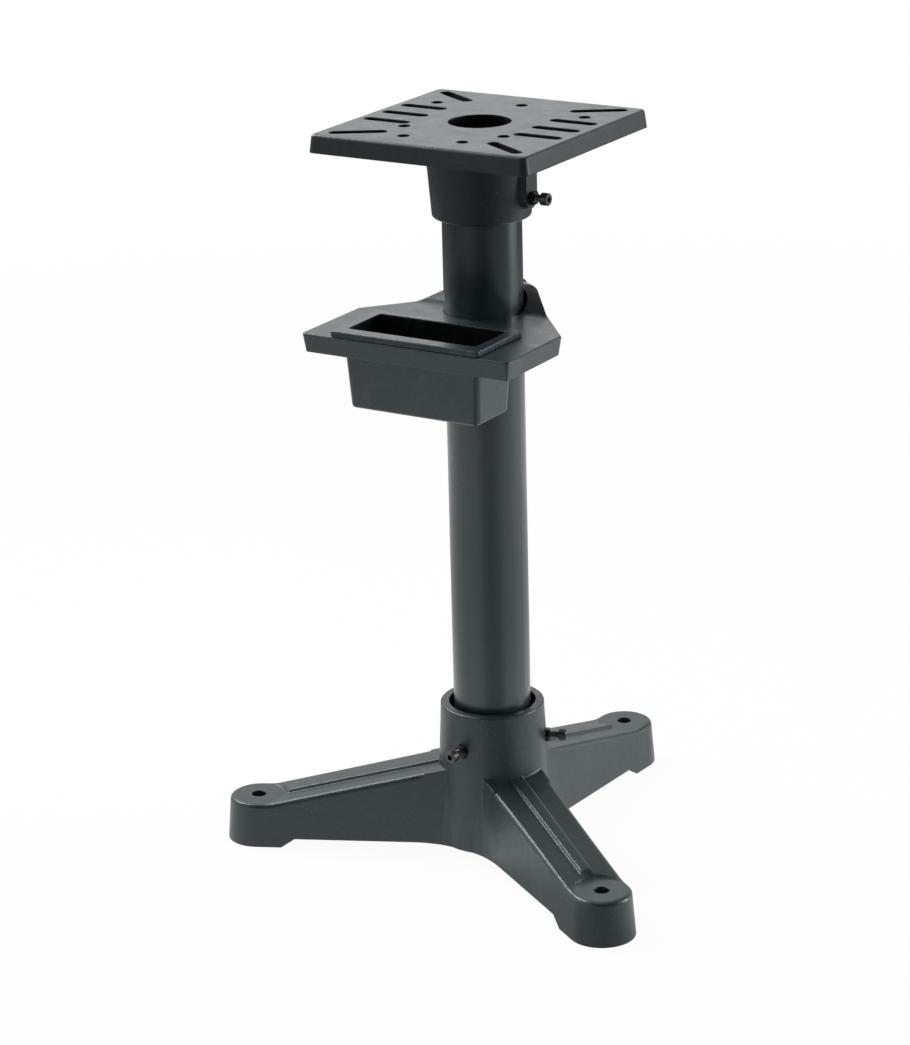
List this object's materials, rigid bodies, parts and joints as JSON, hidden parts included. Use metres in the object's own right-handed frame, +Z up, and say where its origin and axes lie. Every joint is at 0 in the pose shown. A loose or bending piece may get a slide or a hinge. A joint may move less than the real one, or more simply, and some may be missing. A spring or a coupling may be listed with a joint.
{
  "type": "bench grinder stand",
  "caption": "Cast pedestal stand with a three-legged base, round column, slotted square mounting plate, and a clamped tray that holds a lift-out water pot.",
  "frame": {"origin": "floor plane, at the centre of the circle of the three floor bolt holes, under the column axis", "axes": "+Z up along the column, -Y towards the front where the tray reaches out, +X to the right of someone at the front"},
  "size_m": [0.5167, 0.4744, 0.7945],
  "materials": {
    "cast_paint": "satin paint over a rough casting",
    "tube_paint": "satin paint on smooth tube",
    "pot_paint": "satin paint over a rough casting",
    "black_steel": "black oxide"
  },
  "bodies": {
    "base": {"base_casting": "cast_paint", "hub_nut_1": "black_steel", "hub_nut_2": "black_steel", "hub_nut_3": "black_steel"},
    "column": {"column_tube": "tube_paint"},
    "plate": {"mounting_plate": "cast_paint", "socket_nut_1": "black_steel", "socket_nut_2": "black_steel"},
    "tray": {"tray_bracket": "cast_paint", "tray_nut": "black_steel"},
    "pot": {"water_pot": "pot_paint"},
    "hub_screw_a": {"hub_screw_1": "black_steel"},
    "hub_screw_b": {"hub_screw_2": "black_steel"},
    "hub_screw_c": {"hub_screw_3": "black_steel"},
    "socket_screw_a": {"socket_screw_1": "black_steel"},
    "socket_screw_b": {"socket_screw_2": "black_steel"},
    "tray_screw_body": {"tray_screw": "black_steel"}
  },
  "joints": [
    {"name": "column_turn", "type": "hinge", "parent": "base", "child": "column", "pos_m": [0, 0, 0], "axis": [0, 0, 1], "continuous": true},
    {"name": "plate_turn", "type": "hinge", "parent": "column", "child": "plate", "pos_m": [0, 0, 0.7], "axis": [0, 0, 1], "continuous": true},
    {"name": "tray_slide", "type": "slide", "parent": "column", "child": "tray", "axis": [0, 0, 1], "range_m": [-0.38, 0.025]},
    {"name": "pot_lift", "type": "slide", "parent": "tray", "child": "pot", "axis": [0, 0, 1], "range_m": [0, 0.08]},
    {"name": "hub_screw_a_travel", "type": "slide", "parent": "base", "child": "hub_screw_a", "axis": [-0.8241, 0.5664, 0], "range_m": [0, 0.008]},
    {"name": "hub_screw_b_travel", "type": "slide", "parent": "base", "child": "hub_screw_b", "axis": [-0.0785, -0.9969, 0], "range_m": [0, 0.008]},
    {"name": "hub_screw_c_travel", "type": "slide", "parent": "base", "child": "hub_screw_c", "axis": [0.9026, 0.4305, 0], "range_m": [0, 0.008]},
    {"name": "socket_screw_a_travel", "type": "slide", "parent": "plate", "child": "socket_screw_a", "axis": [1, 0, 0], "range_m": [0, 0.008]},
    {"name": "socket_screw_b_travel", "type": "slide", "parent": "plate", "child": "socket_screw_b", "axis": [0, 1, 0], "range_m": [0, 0.008]},
    {"name": "tray_screw_travel", "type": "slide", "parent": "tray", "child": "tray_screw_body", "axis": [0, 1, 0], "range_m": [0, 0.008]}
  ]
}
